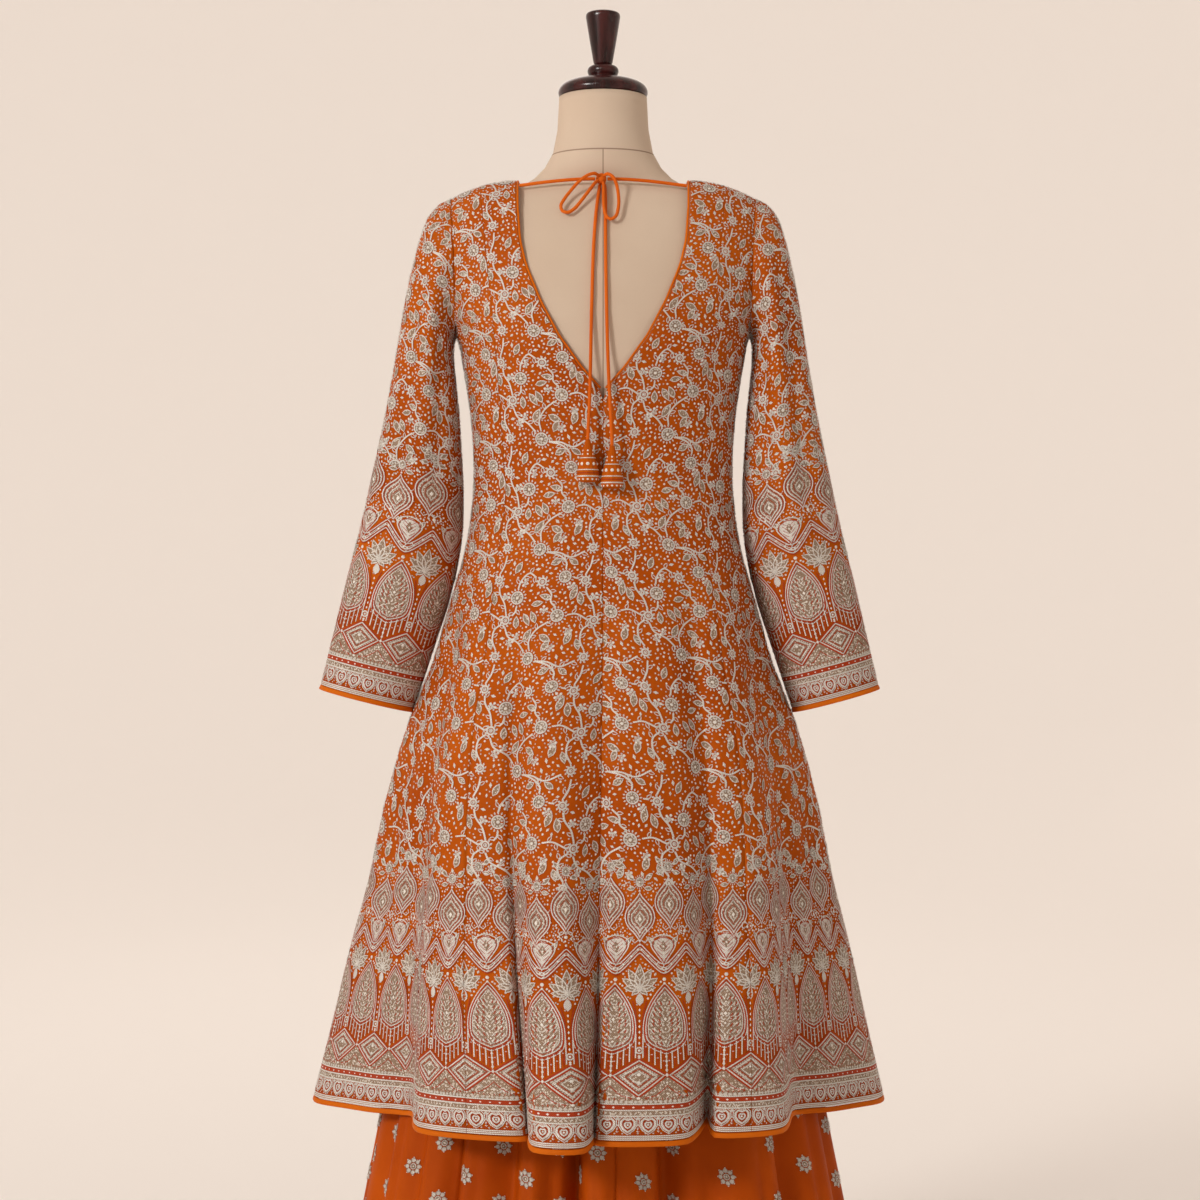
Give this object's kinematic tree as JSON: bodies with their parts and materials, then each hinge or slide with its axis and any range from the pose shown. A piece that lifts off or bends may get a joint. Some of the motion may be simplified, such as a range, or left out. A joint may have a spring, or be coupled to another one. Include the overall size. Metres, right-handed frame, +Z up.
{
  "type": "salwar suit on a dress form",
  "caption": "Flared embroidered kurta with a V back, cord tie and long sleeves over a gathered skirt, worn by a limbless dress form on a stand.",
  "frame": {"origin": "on the floor, under the middle of the round base and the axis of the dress form", "axes": "+Z up, +Y the way the back of the garment faces, +X the left side of the garment as worn"},
  "size_m": [0.6447, 0.5508, 1.5746],
  "materials": {
    "embroidered_cloth": "matte",
    "plain_cloth": "satin",
    "skirt_cloth": "satin",
    "form_cloth": "matte",
    "dark_wood": "gloss"
  },
  "bodies": {
    "root": {"kurta_back_left": "embroidered_cloth", "kurta_side_back_left": "embroidered_cloth", "kurta_side_front_left": "embroidered_cloth", "kurta_front_left": "embroidered_cloth", "kurta_front_right": "embroidered_cloth", "kurta_side_front_right": "embroidered_cloth", "kurta_side_back_right": "embroidered_cloth", "kurta_back_right": "embroidered_cloth", "sleeve_left": "embroidered_cloth", "sleeve_right": "embroidered_cloth", "tie_cone_left": "embroidered_cloth", "tie_cone_right": "embroidered_cloth", "kurta_hem_binding_front": "plain_cloth", "kurta_hem_binding_back": "plain_cloth", "neck_binding_back_left": "plain_cloth", "neck_binding_front_left": "plain_cloth", "neck_binding_front_right": "plain_cloth", "neck_binding_back_right": "plain_cloth", "cuff_binding_left": "plain_cloth", "cuff_binding_right": "plain_cloth", "tie_left": "plain_cloth", "tie_right": "plain_cloth", "bow_loop_left": "plain_cloth", "bow_loop_right": "plain_cloth", "tail_left": "plain_cloth", "tail_right": "plain_cloth", "tie_knot": "plain_cloth", "skirt_back_left": "skirt_cloth", "skirt_side_back_left": "skirt_cloth", "skirt_side_front_left": "skirt_cloth", "skirt_front_left": "skirt_cloth", "skirt_front_right": "skirt_cloth", "skirt_side_front_right": "skirt_cloth", "skirt_side_back_right": "skirt_cloth", "skirt_back_right": "skirt_cloth", "skirt_waistband": "skirt_cloth", "dress_form": "form_cloth", "neck_cap": "dark_wood", "finial": "dark_wood", "pole": "dark_wood", "base": "dark_wood"}
  },
  "joints": []
}
